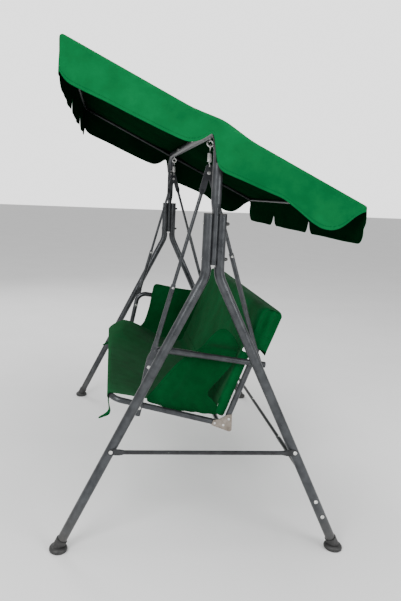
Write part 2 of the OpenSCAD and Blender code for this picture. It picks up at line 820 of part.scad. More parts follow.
// Line of the roof at the given height above the canopy plane, front to rear, raised
// where it crosses the posts and rolled over both end tubes
function roof_line(h) = [
  for (p = concat(
    arc([-canopy_front, 0], h, 180 + canopy_tilt, 90),
    [[-130, h], [-44, h + 8.5], [-14, h + 12], [14, h + 12], [44, h + 8.5], [130, h]],
    arc([canopy_rear, 0], h, 90, canopy_tilt)
  )) sloped(p)
];
function reversed(v) = [for (i = [len(v) - 1 : -1 : 0]) v[i]];

front_low = 1732;
rear_low = 1226;

// Cut between two flaps, narrow at the top and rounded into the hems
function flap_cut(x, low) = [
  [x - 46, low - 1], [x - 30, low + 8], [x - 14, low + 28], [x - 5, low + 56],
  [x + 5, low + 56], [x + 14, low + 28], [x + 30, low + 8], [x + 46, low - 1]
];

// Rounded outer corner of a valance, s = 1 or -1 for the end
function corner_cut(s, low) = [
  [s * (canopy_half + 1), low + 66], [s * (canopy_half - 8), low + 36], [s * (canopy_half - 26), low + 14],
  [s * (canopy_half - 52), low - 1], [s * (canopy_half + 1), low - 1]
];

module flap_cuts(y, low)
  in_xz(y) linear_extrude(height = 30, center = true) {
    for (x = [-290, 290]) polygon(flap_cut(x, low));
    for (s = [-1, 1]) polygon(corner_cut(s, low));
  }

// Hem of the side valance from front to rear: two flaps and a gap at the post
side_hem = [
  [-575, 1812], [-567, 1780], [-547, 1752], [-500, 1732], [-423, 1700], [-320, 1654], [-215, 1608], [-165, 1588],
  [-124, 1572], [-92, 1572], [-62, 1584], [-44, 1603], [-33, 1611], [-24, 1604], [-19, 1549], [-12, 1503],
  [-3, 1484], [12, 1471], [100, 1438], [234, 1387], [290, 1347], [347, 1304], [385, 1282], [420, 1276],
  [448, 1284], [473, 1297], [510, 1332], [532, 1344]
];

// Roof and the two long valances are one sheet; the side valances close its ends
module canopy_cover() color(green) {
  difference() {
    translate([-canopy_half, 0, 0]) in_yz()
      linear_extrude(height = 2 * canopy_half)
        polygon(concat(
          [[front_edge[0] - roof_out, front_low]], roof_line(roof_out), [[rear_edge[0] + roof_out, rear_low]],
          [[rear_edge[0] + roof_in, rear_low]], reversed(roof_line(roof_in)), [[front_edge[0] - roof_in, front_low]]
        ));
    flap_cuts(front_edge[0] - roof_in, front_low);
    flap_cuts(rear_edge[0] + roof_in, rear_low);
  }
  both_ends()
    in_yz(canopy_half - cloth) linear_extrude(height = cloth)
      polygon(concat(side_hem, reversed(roof_line((roof_in + roof_out) / 2))));
}

// ---- parts -----------------------------------------------------------------

leg_front_right();
leg_front_left();
leg_rear_right();
leg_rear_left();
foot_caps();
leg_caps();
crossbeam_middle();
crossbeam_end_right();
crossbeam_end_left();
crossbeam_bolts();
yoke_bolts();
yoke_nuts();
crossbar_right();
crossbar_left();
crossbar_bolts();
brace_end_right();
brace_end_left();
brace_mid_right();
brace_mid_left();
brace_bolts();
canopy_brackets();
bracket_bolts();
eye_bolts();
springs();
hanger_front_top_right();
hanger_front_top_left();
hanger_front_low_right();
hanger_front_low_left();
hanger_rear_top_right();
hanger_rear_top_left();
hanger_rear_low_right();
hanger_rear_low_left();
hanger_bolts();
armrest_front_right();
armrest_front_left();
armrest_rear_right();
armrest_rear_left();
armrest_bolts();
seat_side_right();
seat_side_left();
seat_front_tube();
seat_rear_tube();
corner_plates();
plate_bolts();
back_side_right();
back_side_left();
back_top_tube();
seat_cover();
back_cover();
side_panel_right();
side_panel_left();
tie_straps();
canopy_side_right();
canopy_side_left();
canopy_front_tube();
canopy_rear_tube();
canopy_corners();
pivot_bolts();
canopy_cover();
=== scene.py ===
"""Canopy swing bench: fabric, springs, finishes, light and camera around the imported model."""
import json
import math

import bpy
from mathutils import Matrix, Vector, noise


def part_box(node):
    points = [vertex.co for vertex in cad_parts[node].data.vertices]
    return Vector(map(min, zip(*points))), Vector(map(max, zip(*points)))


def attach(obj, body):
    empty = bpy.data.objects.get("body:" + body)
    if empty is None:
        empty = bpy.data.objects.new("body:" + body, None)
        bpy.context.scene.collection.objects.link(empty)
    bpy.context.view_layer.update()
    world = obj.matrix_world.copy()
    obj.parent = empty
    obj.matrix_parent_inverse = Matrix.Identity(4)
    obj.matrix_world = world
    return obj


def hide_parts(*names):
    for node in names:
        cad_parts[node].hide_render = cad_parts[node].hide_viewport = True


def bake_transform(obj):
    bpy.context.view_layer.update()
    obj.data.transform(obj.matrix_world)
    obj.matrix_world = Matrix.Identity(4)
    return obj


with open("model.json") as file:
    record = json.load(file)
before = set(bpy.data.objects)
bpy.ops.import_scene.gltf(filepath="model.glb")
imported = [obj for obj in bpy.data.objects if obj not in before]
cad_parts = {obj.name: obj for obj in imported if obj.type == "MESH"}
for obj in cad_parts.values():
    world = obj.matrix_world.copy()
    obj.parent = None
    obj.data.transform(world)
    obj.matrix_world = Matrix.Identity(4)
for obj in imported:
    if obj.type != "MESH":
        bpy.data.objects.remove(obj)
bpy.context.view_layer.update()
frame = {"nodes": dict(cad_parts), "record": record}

RECORD = frame["record"]

# ---- places read from the frame ---------------------------------------------


def middle(node):
    """Centre of a CAD node's box."""
    low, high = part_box(node)
    return (Vector(low) + Vector(high)) / 2


def joint(name):
    return next(j for j in RECORD["behaviour"]["joints"] if j["name"] == name)


PIVOT = Vector(joint("canopy_tilt")["pos_m"])
FRONT = middle("canopy_front_tube")
REAR = middle("canopy_rear_tube")
SIDE_X = middle("canopy_side_right").x
SLOPE = (REAR - FRONT).normalized()
NORMAL = Vector((0, -SLOPE.z, SLOPE.y))
SEAT_FRONT = middle("seat_front_tube")
SEAT_REAR = middle("seat_rear_tube")
BACK_TOP = middle("back_top_tube")
BACK_FOOT = Vector((0, 0.144, 0.456))
BACK_UP = (BACK_TOP - BACK_FOOT).normalized()
BACK_H = (BACK_TOP - BACK_FOOT).length

# ---- small tools ------------------------------------------------------------


def lerp(points, x):
    """Height at x on a line of (x, height) points."""
    if x <= points[0][0]:
        return points[0][1]
    for (x0, y0), (x1, y1) in zip(points, points[1:]):
        if x <= x1:
            return y0 + (y1 - y0) * (x - x0) / max(x1 - x0, 1e-9)
    return points[-1][1]


def ease(t):
    t = min(max(t, 0.0), 1.0)
    return t * t * (3 - 2 * t)


def ripple(x, y, z, scale, amount):
    """Smooth repeatable noise in metres."""
    return noise.noise(Vector((x, y, z)) * scale) * amount


def spread(low, high, step, extra=()):
    """Even positions from low to high, with extra ones where the shape needs them."""
    count = max(2, round((high - low) / step))
    values = [low + (high - low) * i / count for i in range(count + 1)]
    near = [v for v in values if all(abs(v - e) > step * 0.35 for e in extra) or v in (low, high)]
    return sorted(set(near) | {e for e in extra if low < e < high})


def new_object(name, verts, faces, attribute=None):
    mesh = bpy.data.meshes.new(name)
    mesh.from_pydata([tuple(v) for v in verts], [], faces)
    mesh.validate()
    if attribute:
        data = mesh.attributes.new("cloth", "FLOAT_VECTOR", "POINT").data
        for item, value in zip(data, attribute):
            item.vector = value
    for polygon in mesh.polygons:
        polygon.use_smooth = True
    obj = bpy.data.objects.new(name, mesh)
    bpy.context.collection.objects.link(obj)
    return obj


def fabric_piece(obj, body, material, thick=0.0016, levels=1, inside_shade=None):
    """Gives a single-layer mesh its thickness, smoothness, finish and body; an optional second material
    paints shade on the inner face.
    """
    solid = obj.modifiers.new("Thickness", "SOLIDIFY")
    solid.thickness = thick
    solid.offset = 0
    if inside_shade:
        # The inner face takes the painted-shade material.
        solid.material_offset = 1
    if levels:
        smooth = obj.modifiers.new("Smooth", "SUBSURF")
        smooth.levels = levels
        smooth.render_levels = levels
    obj.data.materials.append(material)
    if inside_shade:
        obj.data.materials.append(inside_shade)
    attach(obj, body)


# ---- materials --------------------------------------------------------------


class Nodes:
    """Short way to build a node tree."""

    def __init__(self, name):
        self.material = bpy.data.materials.new(name)
        self.material.use_nodes = True
        self.tree = self.material.node_tree
        self.tree.nodes.clear()
        self.out = self.add("ShaderNodeOutputMaterial")
        self.shader = self.add("ShaderNodeBsdfPrincipled")
        self.link(self.shader.outputs[0], self.out.inputs["Surface"])

    def add(self, kind, **values):
        node = self.tree.nodes.new(kind)
        for key, value in values.items():
            setattr(node, key, value)
        return node

    def link(self, a, b):
        self.tree.links.new(a, b)

    def set(self, **values):
        for key, value in values.items():
            self.shader.inputs[key.replace("_", " ")].default_value = value

    def math(self, operation, a, b=0.0, c=0.0, clamp=False):
        node = self.add("ShaderNodeMath", operation=operation, use_clamp=clamp)
        for socket, value in zip(node.inputs, (a, b, c)):
            if hasattr(value, "is_output"):
                self.link(value, socket)
            else:
                socket.default_value = value
        return node.outputs[0]

    def noise(self, vector, scale, detail=3.0, rough=0.55):
        node = self.add("ShaderNodeTexNoise")
        node.inputs["Scale"].default_value = scale
        node.inputs["Detail"].default_value = detail
        node.inputs["Roughness"].default_value = rough
        self.link(vector, node.inputs["Vector"])
        return node.outputs["Fac"]

    def ramp(self, value, stops):
        node = self.add("ShaderNodeValToRGB")
        while len(node.color_ramp.elements) < len(stops):
            node.color_ramp.elements.new(0.5)
        for element, (place, colour) in zip(node.color_ramp.elements, stops):
            element.position = place
            element.color = (*colour, 1)
        self.link(value, node.inputs[0])
        return node.outputs[0]

    def mix(self, factor, a, b, blend="MIX"):
        node = self.add("ShaderNodeMix", data_type="RGBA", blend_type=blend)
        for socket, value in zip((node.inputs[0], node.inputs[6], node.inputs[7]), (factor, a, b)):
            if hasattr(value, "is_output"):
                self.link(value, socket)
            else:
                socket.default_value = value if isinstance(value, float) else (*value, 1)
        return node.outputs[2]

    def bump(self, height, distance, strength=1.0, before=None):
        node = self.add("ShaderNodeBump")
        node.inputs["Distance"].default_value = distance
        node.inputs["Strength"].default_value = strength
        self.link(height, node.inputs["Height"])
        if before:
            self.link(before, node.inputs["Normal"])
        return node.outputs[0]


def painted_steel(name, dark, light, rough):
    """Hammered powder coat: fine orange peel, mottled grey, rubbed spots and dust near the ground."""
    n = Nodes(name)
    place = n.add("ShaderNodeTexCoord").outputs["Object"]
    mottle = n.noise(place, 26, 4)
    grain = n.noise(place, 900, 2)
    colour = n.ramp(mottle, [(0.35, dark), (0.65, light)])
    rubbed = n.math("MULTIPLY", n.math("GREATER_THAN", n.noise(place, 70, 5, 0.7), 0.69), 0.35)
    colour = n.mix(rubbed, colour, (0.34, 0.34, 0.33))
    height = n.add("ShaderNodeSeparateXYZ")
    n.link(place, height.inputs[0])
    dust = n.math("SUBTRACT", 0.35, n.math("MULTIPLY", height.outputs[2], 1.6), clamp=True)
    dust = n.math("MULTIPLY", dust, n.noise(place, 40, 4), clamp=True)
    colour = n.mix(dust, colour, (0.20, 0.18, 0.15))
    n.link(colour, n.shader.inputs["Base Color"])
    n.link(n.math("ADD", rough - 0.08, n.math("MULTIPLY", mottle, 0.16)), n.shader.inputs["Roughness"])
    peel = n.bump(grain, 0.00035, 0.5)
    n.link(n.bump(n.noise(place, 240, 2), 0.0006, 0.35, peel), n.shader.inputs["Normal"])
    n.set(Metallic=0.55)
    return n.material


def plated(name, dark, light, rough):
    """Zinc plate: brushed streaks and cloudy spots."""
    n = Nodes(name)
    place = n.add("ShaderNodeTexCoord").outputs["Object"]
    stretch = n.add("ShaderNodeMapping")
    stretch.inputs["Scale"].default_value = (1, 1, 14)
    n.link(place, stretch.inputs["Vector"])
    streak = n.noise(stretch.outputs[0], 160, 3)
    cloud = n.noise(place, 45, 4)
    n.link(n.ramp(cloud, [(0.3, dark), (0.7, light)]), n.shader.inputs["Base Color"])
    n.link(n.math("ADD", rough, n.math("MULTIPLY", streak, 0.18)), n.shader.inputs["Roughness"])
    n.link(n.bump(streak, 0.0003, 0.5), n.shader.inputs["Normal"])
    n.set(Metallic=1.0)
    return n.material


def moulded(name, dark, light, rough):
    """Moulded plastic: spark-eroded grain and a scuffed sheen."""
    n = Nodes(name)
    place = n.add("ShaderNodeTexCoord").outputs["Object"]
    grain = n.noise(place, 1100, 2)
    scuff = n.noise(place, 60, 5, 0.7)
    n.link(n.ramp(scuff, [(0.4, dark), (0.75, light)]), n.shader.inputs["Base Color"])
    n.link(n.math("ADD", rough, n.math("MULTIPLY", scuff, 0.2)), n.shader.inputs["Roughness"])
    n.link(n.bump(grain, 0.0004, 0.5), n.shader.inputs["Normal"])
    return n.material


THREAD = 0.0011
STITCH = 0.006
STITCH_ROW = 0.011


def woven(name, dark, mid, light, rough=0.80, sheen=0.04):
    """Plain-weave polyester with a doubled hem and a row of stitches."""
    n = Nodes(name)
    cloth = n.add("ShaderNodeAttribute", attribute_name="cloth").outputs["Vector"]
    place = n.add("ShaderNodeTexCoord").outputs["Object"]
    parts = n.add("ShaderNodeSeparateXYZ")
    n.link(cloth, parts.inputs[0])
    u, v, hem = parts.outputs
    turn = 2 * math.pi / THREAD
    warp = n.math("SINE", n.math("MULTIPLY", u, turn))
    weft = n.math("SINE", n.math("MULTIPLY", v, turn))
    weave = n.math("MULTIPLY", warp, weft)
    slub = n.noise(cloth, 210, 3, 0.6)
    cloud = n.noise(place, 3.2, 3)
    fade = n.noise(place, 17, 4, 0.6)
    tone = n.math("ADD", n.math("MULTIPLY", cloud, 0.6), n.math("MULTIPLY", fade, 0.4))
    colour = n.ramp(tone, [(0.36, dark), (0.5, mid), (0.64, light)])
    shade = n.math("ADD", 0.86, n.math("MULTIPLY", slub, 0.22))
    shade = n.math("ADD", shade, n.math("MULTIPLY", weave, 0.05))
    grey = n.add("ShaderNodeCombineColor")
    for socket in grey.inputs:
        n.link(shade, socket)
    colour = n.mix(1.0, colour, grey.outputs[0], "MULTIPLY")
    line = n.math("LESS_THAN", n.math("ABSOLUTE", n.math("SUBTRACT", hem, STITCH_ROW)), 0.0009)
    dash = n.math("LESS_THAN", n.math("FRACT", n.math("DIVIDE", n.math("ADD", u, v), STITCH)), 0.62)
    stitch = n.math("MULTIPLY", line, dash)
    colour = n.mix(n.math("MULTIPLY", stitch, 0.45), colour, tuple(c * 0.45 for c in dark))
    n.link(colour, n.shader.inputs["Base Color"])
    n.link(n.math("ADD", rough, n.math("MULTIPLY", slub, 0.12)), n.shader.inputs["Roughness"])
    band = n.math("LESS_THAN", hem, STITCH_ROW + 0.003)
    first = n.bump(weave, 0.00018, 0.5)
    second = n.bump(n.math("SUBTRACT", n.math("MULTIPLY", band, 0.6), line), 0.0008, 0.7, first)
    soft = n.bump(n.noise(cloth, 26, 4, 0.6), 0.0016, 0.45, second)
    n.link(soft, n.shader.inputs["Normal"])
    n.set(Sheen_Weight=sheen, Sheen_Roughness=0.5, Specular_IOR_Level=0.03, IOR=1.05)
    return n.material


FINISH = {
    "frame_paint": painted_steel("frame_paint", (0.034, 0.037, 0.041), (0.060, 0.064, 0.069), 0.30),
    # Partly painted shade: bar paint is a darker copy of the frame's powder coat; its darkness partly
    # stands in for the shade under the canopy and partly is the bars' own darker steel.
    "bar_paint": painted_steel("bar_paint", (0.018, 0.019, 0.020), (0.034, 0.036, 0.038), 0.32),
    "zinc": plated("zinc", (0.55, 0.55, 0.53), (0.82, 0.82, 0.80), 0.24),
    "plate_zinc": plated("plate_zinc", (0.20, 0.17, 0.14), (0.36, 0.32, 0.28), 0.34),
    "black_plastic": moulded("black_plastic", (0.012, 0.012, 0.012), (0.035, 0.035, 0.034), 0.42),
    "seat_fabric": woven(
        "seat_fabric", (0.0010, 0.052, 0.012), (0.0014, 0.068, 0.017), (0.0020, 0.084, 0.022)
    ),
    # Painted shade: trim fabric is a darker copy of the seat fabric; its darkness stands in for the shade
    # on the side wings, and the ties share it.
    "trim_fabric": woven(
        "trim_fabric", (0.0008, 0.038, 0.009), (0.0012, 0.050, 0.012), (0.0018, 0.062, 0.016)
    ),
    "canopy_fabric": woven(
        "canopy_fabric", (0.003, 0.095, 0.026), (0.004, 0.120, 0.034), (0.006, 0.142, 0.042)
    ),
}
# Painted shade: a near-black copy of the canopy fabric for the canopy's inner face, standing in for the
# shade under the roof.
CANOPY_UNDERSIDE_SHADE = woven(
    "canopy_underside_shade", (0.0004, 0.010, 0.003), (0.0006, 0.014, 0.004), (0.0008, 0.018, 0.005), 0.85, 0.0
)

SLOT_OF = {s["node"]: s["material_slot"] for s in RECORD["subparts"]}
for node, obj in frame["nodes"].items():
    finish = FINISH[SLOT_OF[node]]
    if obj.material_slots:
        for material_slot in obj.material_slots:
            material_slot.material = finish
    else:
        obj.data.materials.append(finish)

# ---- canopy: one sheet over the four tubes, with hanging valances -----------

OVER_TUBE = 0.0098
OVER_SIDE = 0.0120
HUMP = [(0.0, 0.0142), (0.014, 0.0138), (0.044, 0.0104), (0.090, 0.0040), (0.130, 0.0)]
ROOF_SAG = 0.014
ROOF_WRINKLE = 0.006
CLOTH_CELL = 0.024
HEM_WIDTH = 0.013
EDGE_TURN = 0.016
VALANCE_WAVES = [(0.33, 0.0, 0.55), (0.19, 1.3, 0.3)]
VALANCE_SWING = 0.0045
VALANCE_TUCK = 0.006
FLAP_CUT_X = 0.29
FLAP_CUT = [(-0.046, 0.0), (-0.030, 0.009), (-0.014, 0.029), (-0.005, 0.056),
            (0.005, 0.056), (0.014, 0.029), (0.030, 0.009), (0.046, 0.0)]
FRONT_LOW = 1.732
REAR_LOW = 1.226
SIDE_HEM = [
    (-0.5775, 1.803), (-0.575, 1.798), (-0.567, 1.778), (-0.547, 1.752), (-0.500, 1.731), (-0.423, 1.700),
    (-0.320, 1.654), (-0.215, 1.608), (-0.165, 1.588), (-0.124, 1.573), (-0.092, 1.573), (-0.062, 1.585),
    (-0.044, 1.601), (-0.033, 1.609), (-0.026, 1.604), (-0.021, 1.549), (-0.014, 1.503), (-0.004, 1.484),
    (0.012, 1.471), (0.100, 1.438), (0.234, 1.387), (0.290, 1.347), (0.347, 1.304), (0.385, 1.283),
    (0.420, 1.277), (0.448, 1.284), (0.473, 1.298), (0.510, 1.331), (0.535, 1.347), (0.555, 1.353),
]


def long_hem(x, low, corner):
    """Hem height of the front or rear valance: three flaps and rounded outer corners."""
    z = low
    for centre in (-FLAP_CUT_X, FLAP_CUT_X):
        z += lerp(FLAP_CUT, x - centre)
    edge = SIDE_X + OVER_SIDE - abs(x)
    lift = corner - low
    rounded = [(0.0, lift), (0.003, lift * 0.62), (0.010, 0.036), (0.026, 0.014), (0.055, 0.0)]
    return z + lerp(rounded, edge)


def canopy():
    cuts = [c + d for c in (-FLAP_CUT_X, FLAP_CUT_X) for d, _ in FLAP_CUT]
    ends = [s * (SIDE_X - d) for s in (-1, 1) for d in (0.002, 0.012, 0.026, 0.042)]
    xs = spread(-SIDE_X, SIDE_X, CLOTH_CELL, cuts + ends)
    length = (REAR - FRONT).length
    pivot_at = (PIVOT - FRONT).dot(SLOPE)
    # Rows where the side hem has its points
    hem_rows = [y / SLOPE.y + pivot_at for y, _ in SIDE_HEM[3:-1]]
    ss = spread(0, length, CLOTH_CELL, hem_rows)
    turn = (1 / 3, 2 / 3, 1.0)
    cols = [(-SIDE_X, -e) for e in reversed(turn)] + [(x, 0.0) for x in xs] + [(SIDE_X, e) for e in turn]
    rows = [(0.0, -e) for e in reversed(turn)] + [(s, 0.0) for s in ss] + [(length, e) for e in turn]

    def point(col, row):
        x, ex = col
        s, ey = row
        away = max(abs(ex), abs(ey))
        direction = (Vector((ex, ey, 0)) + NORMAL * (1 - away)).normalized()
        base = Vector((x, FRONT.y, FRONT.z)) + SLOPE * s
        d = abs(s - pivot_at)
        hump = lerp(HUMP, d)
        inner = 1 - abs(x / SIDE_X) ** 6
        span = s / pivot_at if s < pivot_at else (length - s) / (length - pivot_at)
        sag = ROOF_SAG * math.sin(math.pi * min(max(span, 0), 1)) * inner
        wrinkle = ripple(x, s, 0, 5, ROOF_WRINKLE) * inner * math.sin(math.pi * s / length)
        offset = Vector((direction.x * OVER_SIDE, direction.y * OVER_TUBE, direction.z * OVER_TUBE))
        return base + offset + NORMAL * ((hump + wrinkle - sag) if not away else hump * (1 - 0.4 * away))

    verts, info = [], []
    grid = []
    for j, row in enumerate(rows):
        line = []
        for i, col in enumerate(cols):
            line.append(len(verts))
            verts.append(point(col, row))
            info.append((col[0] + col[1] * EDGE_TURN, row[0] + row[1] * EDGE_TURN, 1.0))
        grid.append(line)
    faces = [
        (grid[j][i], grid[j][i + 1], grid[j + 1][i + 1], grid[j + 1][i])
        for j in range(len(rows) - 1) for i in range(len(cols) - 1)
    ]
    last_i, last_j = len(cols) - 1, len(rows) - 1
    loop = [(i, 0) for i in range(last_i)] + [(last_i, j) for j in range(last_j)]
    loop += [(i, last_j) for i in range(last_i, 0, -1)] + [(0, j) for j in range(last_j, 0, -1)]

    def hem_at(j, p):
        if j == 0:
            return long_hem(p.x, FRONT_LOW, SIDE_HEM[0][1])
        if j == last_j:
            return long_hem(p.x, REAR_LOW, SIDE_HEM[-1][1])
        return lerp(SIDE_HEM, p.y)

    rings = []
    run = 0.0
    previous = None
    for i, j in loop:
        p = verts[grid[j][i]]
        run += (p - previous).length if previous else 0.0
        previous = p
        low = hem_at(j, p)
        depth = p.z - low
        out_x = cols[i][1] if i in (0, last_i) else 0
        out_y = rows[j][1] if j in (0, last_j) else 0
        outward = Vector((out_x, out_y, 0)).normalized()
        column = [grid[j][i]]
        fractions = (0.10, 0.28, 0.46, 0.64, 0.82)
        lower = depth - HEM_WIDTH if depth > 0.05 else depth * 0.86
        steps = [lower * f / 0.82 for f in fractions] + [(lower + depth) / 2, depth]
        on_side = i in (0, last_i)
        for d in steps:
            t = d / max(depth, 1e-6)
            swing = sum(math.sin(run * 2 * math.pi / long + at) * part for long, at, part in VALANCE_WAVES)
            loose = ease(t) * min(depth / 0.12, 1.0)
            push = (swing * VALANCE_SWING + ripple(run, d, 3.1, 7, 0.006)) * loose
            push -= VALANCE_TUCK * ease(t) * (0 if on_side else 1)
            if on_side:
                calm = 1 - math.exp(-((p.y + 0.01) / 0.09) ** 2)
                push = max(push, -0.010) * calm + 0.004 * ease(t)
            column.append(len(verts))
            verts.append(p + outward * push - Vector((0, 0, d)))
            info.append((run, d, depth - d))
        rings.append(column)
    for a, b in zip(rings, rings[1:] + rings[:1]):
        for k in range(len(a) - 1):
            faces.append((a[k + 1], b[k + 1], b[k], a[k]))
    obj = new_object("canopy_sheet", verts, faces, info)
    # The canopy's inner face gets the near-black painted-shade material.
    fabric_piece(obj, "canopy", FINISH["canopy_fabric"], 0.0015, 1, CANOPY_UNDERSIDE_SHADE)
    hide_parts("canopy_cover")
    return obj


# ---- sheets from an outline in the Y-Z plane --------------------------------


def smooth_line(points, per=6, closed=True):
    """Catmull-Rom curve through the points."""
    out = []
    count = len(points)
    for i in range(count if closed else count - 1):
        p = [Vector(points[(i + k) % count]) if closed else Vector(points[min(max(i + k, 0), count - 1)])
             for k in (-1, 0, 1, 2)]
        for step in range(per):
            t = step / per
            square = 2 * p[0] - 5 * p[1] + 4 * p[2] - p[3]
            cube = 3 * p[1] - p[0] - 3 * p[2] + p[3]
            out.append(0.5 * (2 * p[1] + (p[2] - p[0]) * t + square * t * t + cube * t ** 3))
    if not closed:
        out.append(Vector(points[-1]))
    return out


def inside(p, line):
    hit = False
    for a, b in zip(line, line[1:] + line[:1]):
        if (a.y > p.y) != (b.y > p.y) and p.x < (b.x - a.x) * (p.y - a.y) / (b.y - a.y) + a.x:
            hit = not hit
    return hit


def nearest(p, line):
    best, place = 1e9, None
    for a, b in zip(line, line[1:] + line[:1]):
        d = b - a
        t = min(max((p - a).dot(d) / max(d.length_squared, 1e-12), 0), 1)
        q = a + d * t
        if (p - q).length < best:
            best, place = (p - q).length, q
    return best, place


def outline_sheet(name, outline, cell, place, body, slot):
    """Cloth cut to an outline; place(y, z) gives each point's position."""
    line = smooth_line([Vector(p) for p in outline])
    low = Vector((min(p.x for p in line), min(p.y for p in line)))
    high = Vector((max(p.x for p in line), max(p.y for p in line)))
    nx = int((high.x - low.x) / cell) + 1
    ny = int((high.y - low.y) / cell) + 1
    keep = {}
    cells = []
    for j in range(ny):
        for i in range(nx):
            centre = low + Vector(((i + 0.5) * cell, (j + 0.5) * cell))
            if inside(centre, line):
                cells.append((i, j))
    for i, j in cells:
        for corner in ((i, j), (i + 1, j), (i + 1, j + 1), (i, j + 1)):
            keep.setdefault(corner, 0)
            keep[corner] += 1
    index, verts, info = {}, [], []
    for (i, j), uses in keep.items():
        p = low + Vector((i * cell, j * cell))
        edge, on_line = nearest(p, line)
        if uses < 4:
            p, edge = on_line, 0.0
        index[(i, j)] = len(verts)
        verts.append(place(p.x, p.y))
        info.append((p.x, p.y, edge))
    faces = [tuple(index[c] for c in ((i, j), (i + 1, j), (i + 1, j + 1), (i, j + 1))) for i, j in cells]
    obj = new_object(name, verts, faces, info)
    fabric_piece(obj, body, FINISH[slot])
    return obj


# ---- seat sling -------------------------------------------------------------

SEAT_HALF = 0.573
FAR_LIFT = Vector((0, 0.034, 0.062))
LIFT_FROM = 0.05
SEAT_SAG = 0.017
SEAT_CELL = 0.022
WRAP = SEAT_FRONT.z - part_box("seat_front_tube")[0][2] + 0.002
SEAT_LINE = SEAT_REAR - SEAT_FRONT
SEAT_ALONG = Vector((0, SEAT_LINE.y, SEAT_LINE.z)).normalized()
SEAT_UP = Vector((0, -SEAT_ALONG.z, SEAT_ALONG.y))


def seat_path():
    """Section of the sling: round the front tube, back along the seat, then up to the backrest."""
    path = []
    for k in range(15):
        angle = math.radians(262 - k * 172 / 14)
        path.append(SEAT_FRONT + (SEAT_ALONG * math.cos(angle) + SEAT_UP * math.sin(angle)) * WRAP)
    top = path[-1]
    foot = back_point(-0.0545, 0.030)
    for k in range(1, 19):
        t = k / 18
        straight = top.lerp(Vector((0, 0.058, 0.4615)), t)
        path.append(straight)
    bend = path[-1]
    control = Vector((0, 0.092, 0.4545))
    for k in range(1, 7):
        t = k / 6
        path.append(bend * (1 - t) ** 2 + control * 2 * t * (1 - t) + foot * t * t)
    path += [back_point(-0.0568, up) for up in (0.037, 0.046, 0.055)]
    return [Vector((0, p.y, p.z)) for p in path]


def back_point(out, up, x=0.0):
    """Point in the leaning frame of the backrest."""
    return Vector((x, BACK_FOOT.y, BACK_FOOT.z)) + Vector((0, BACK_UP.z, -BACK_UP.y)) * out + BACK_UP * up


def seat():
    path = seat_path()
    hems = [s * (SEAT_HALF - d) for s in (-1, 1) for d in (0.006, 0.013)]
    xs = spread(-SEAT_HALF, SEAT_HALF, SEAT_CELL, hems)
    verts, info, faces = [], [], []
    run = [0.0]
    for a, b in zip(path, path[1:]):
        run.append(run[-1] + (b - a).length)
    total = run[-1]
    wrap_end = run[14]
    for j, p in enumerate(path):
        t = min(max((run[j] - wrap_end) / (total - wrap_end), 0), 1)
        for x in xs:
            side = abs(x) / SEAT_HALF
            sag = SEAT_SAG * math.sin(math.pi * t) * (1 - side ** 3)
            curl = 0.006 * ease((side - 0.93) / 0.07) * math.sin(math.pi * min(t * 1.4, 1))
            wave = ripple(x, run[j], 1.7, 7, 0.006) * math.sin(math.pi * t)
            near_tube = math.exp(-((run[j] - wrap_end) / 0.10) ** 2)
            pull = 0.0004 * math.sin(x * 2 * math.pi / 0.085 + 2 * side) * near_tube
            pull *= 1 if j > 14 else 0.35
            far = ease((-x - LIFT_FROM) / (SEAT_HALF - LIFT_FROM)) ** 1.3
            lift = far * ease((run[j] - 0.02) / 0.05) * (1 - ease(t / 0.75))
            raised = SEAT_UP * FAR_LIFT.z * lift + SEAT_ALONG * FAR_LIFT.y * lift
            verts.append(Vector((x, p.y, p.z)) + SEAT_UP * (wave - sag + curl + pull) + raised)
            info.append((x, run[j], min(SEAT_HALF - abs(x), run[j])))
    for j in range(len(path) - 1):
        for i in range(len(xs) - 1):
            a = j * len(xs) + i
            faces.append((a, a + 1, a + 1 + len(xs), a + len(xs)))
    obj = new_object("seat_sling", verts, faces, info)
    fabric_piece(obj, "seat", FINISH["seat_fabric"], 0.0018, 1)
    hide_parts("seat_cover")


# ---- backrest cover ---------------------------------------------------------

BACK_HALF = 0.576
HOOD_HALF = 0.6135
HOOD_LOW = 0.297
FRONT_OUT = -0.0545
REAR_OUT = 0.0465
TOP_R = 0.016
EDGE_DEPTH = 0.041
EDGE_RUN = 0.58
OVER_TOP = range(21, 38)
SEAM_UP = 0.375
BACK_SAG = 0.010
OUTSIDE_TUBE = 0.6095
HOLLOW_LIMIT = 0.585
BACK_CELL = 0.038


def back_section():
    """Points (out, up) of the cover: front panel from the seat, over the top, down to the rear hem."""
    top = BACK_H + 0.0150
    points = [(FRONT_OUT, 0.030 + (top - TOP_R * 2.2 - 0.030) * k / 24) for k in range(25)]
    front_r, rear_r = 0.034, 0.020
    for k in range(1, 7):
        a = math.radians(180 - 90 * k / 6)
        points.append((FRONT_OUT + front_r * (1 + math.cos(a)), top - front_r * (1 - math.sin(a))))
    points.append(((FRONT_OUT + front_r + REAR_OUT - rear_r) / 2, top + 0.0005))
    for k in range(0, 6):
        a = math.radians(90 - 90 * k / 5)
        points.append((REAR_OUT - rear_r + rear_r * math.cos(a), top - rear_r + rear_r * math.sin(a)))
    start = points[-1][1]
    points += [(REAR_OUT, start + (HOOD_LOW - start) * k / 10) for k in range(1, 11)]
    return points


